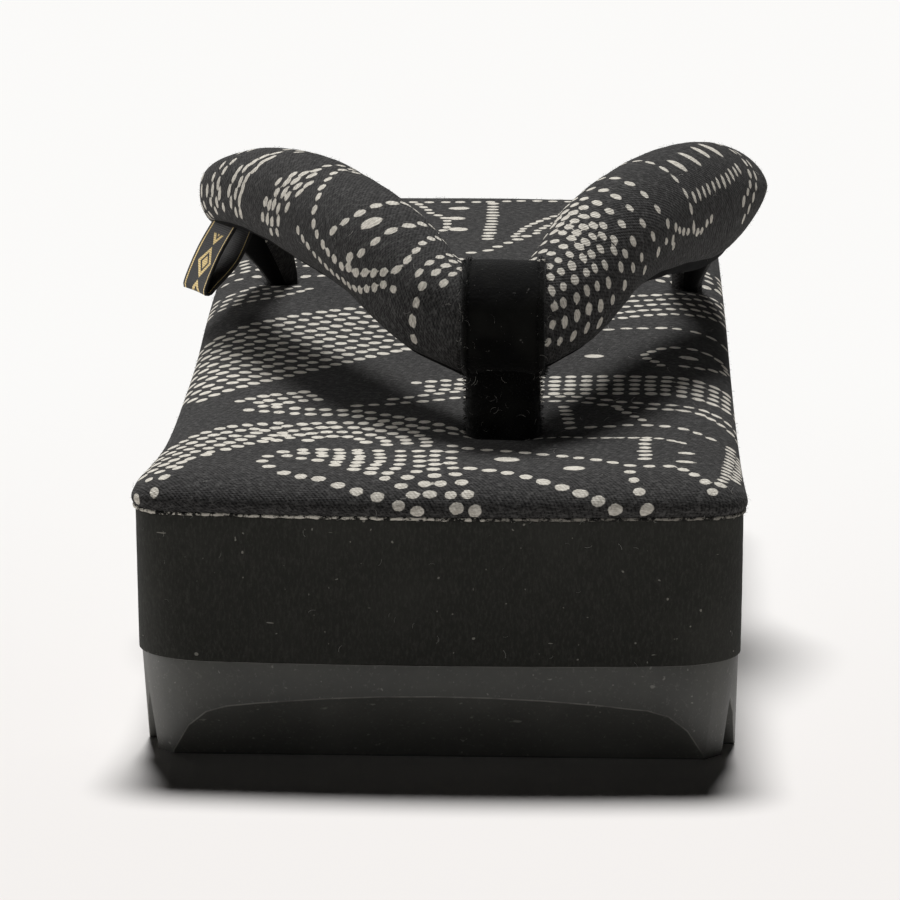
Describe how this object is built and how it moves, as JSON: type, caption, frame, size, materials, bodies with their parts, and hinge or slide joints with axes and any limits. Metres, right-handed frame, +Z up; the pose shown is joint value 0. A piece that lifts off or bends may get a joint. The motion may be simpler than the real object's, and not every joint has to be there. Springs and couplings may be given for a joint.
{
  "type": "setta sandal",
  "caption": "Thick-soled thong sandal for a right foot: saw-tooth rubber outsole, foam midsole, cloth-covered footbed, padded V strap on a toe post, small label tab.",
  "frame": {"origin": "on the ground, below the centre of the sandal's bounding box", "axes": "-Y towards the toe, +Y towards the heel, +X the medial (big toe) side, -X the lateral side, +Z up"},
  "size_m": [0.1076, 0.2634, 0.0885],
  "materials": {
    "rubber": "matt ribbed rubber",
    "foam": "matt closed-cell foam",
    "cloth": "charcoal cotton twill with small off-white dots",
    "strap_cloth": "the same dotted twill, with a plain black underside",
    "velvet": "black velvet",
    "ribbon": "black satin ribbon with a woven gold edge"
  },
  "bodies": {
    "root": {"outsole": "rubber", "midsole": "foam", "footbed": "cloth", "upper": "strap_cloth", "toe_post": "velvet", "label_tab": "ribbon"}
  },
  "joints": []
}
